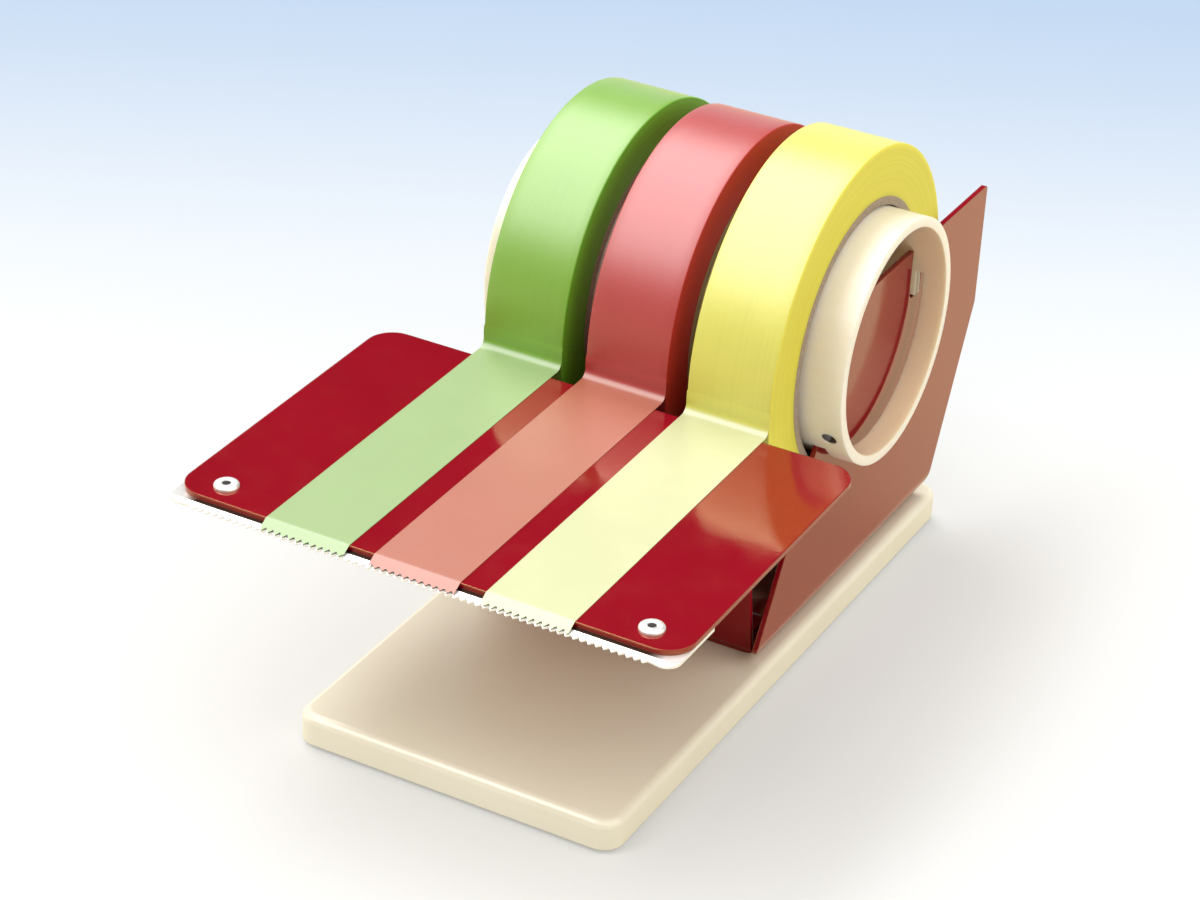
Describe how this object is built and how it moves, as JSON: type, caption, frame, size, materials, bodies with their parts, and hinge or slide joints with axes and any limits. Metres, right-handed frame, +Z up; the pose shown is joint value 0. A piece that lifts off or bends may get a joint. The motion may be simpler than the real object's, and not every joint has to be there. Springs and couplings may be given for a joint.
{
  "type": "multi-roll tape dispenser",
  "caption": "Free-standing tape dispenser: tape rolls hang on a slotted lift-off drum between two notched side panels, with their free ends lying over a flat table to a toothed blade.",
  "frame": {"origin": "centre of the underside of the base, on the surface the dispenser stands on", "axes": "+Z up, -Y towards the blade and the user, +X along the drum to the user's right"},
  "size_m": [0.1506, 0.2516, 0.1478],
  "materials": {
    "ivory_enamel": "gloss enamel on a heavy plate",
    "pad_rubber": "matte non-slip sheet",
    "red_enamel": "gloss enamel with light orange peel",
    "blade_steel": "bright rolled strip with cut teeth",
    "rivet_steel": "bright plated tubular rivet",
    "screw_steel": "zinc-plated",
    "drum_plastic": "cream extruded tube, satin gloss",
    "core_board": "wound grey-brown paperboard",
    "tape_green": "glossy film, darker in layers",
    "tape_salmon": "glossy film, darker in layers",
    "tape_yellow": "glossy film, darker in layers"
  },
  "bodies": {
    "stand": {"base_plate": "ivory_enamel", "base_pad": "pad_rubber", "bracket": "red_enamel", "bracket_screws": "screw_steel", "riser": "red_enamel", "riser_screws": "screw_steel", "table": "red_enamel", "blade": "blade_steel", "rivet_left": "rivet_steel", "rivet_right": "rivet_steel", "strip_green": "tape_green", "strip_salmon": "tape_salmon", "strip_yellow": "tape_yellow"},
    "drum": {"drum": "drum_plastic"},
    "green_roll": {"core_green": "core_board", "roll_green": "tape_green"},
    "salmon_roll": {"core_salmon": "core_board", "roll_salmon": "tape_salmon"},
    "yellow_roll": {"core_yellow": "core_board", "roll_yellow": "tape_yellow"}
  },
  "joints": [
    {"name": "drum_lift", "type": "slide", "parent": "stand", "child": "drum", "axis": [0, 0, 1], "range_m": [0, 0.075]},
    {"name": "green_roll_spin", "type": "hinge", "parent": "drum", "child": "green_roll", "pos_m": [-0.033, 0.038, 0.092], "axis": [1, 0, 0], "continuous": true},
    {"name": "salmon_roll_spin", "type": "hinge", "parent": "drum", "child": "salmon_roll", "pos_m": [0, 0.038, 0.092], "axis": [1, 0, 0], "continuous": true},
    {"name": "yellow_roll_spin", "type": "hinge", "parent": "drum", "child": "yellow_roll", "pos_m": [0.033, 0.038, 0.092], "axis": [1, 0, 0], "continuous": true}
  ]
}
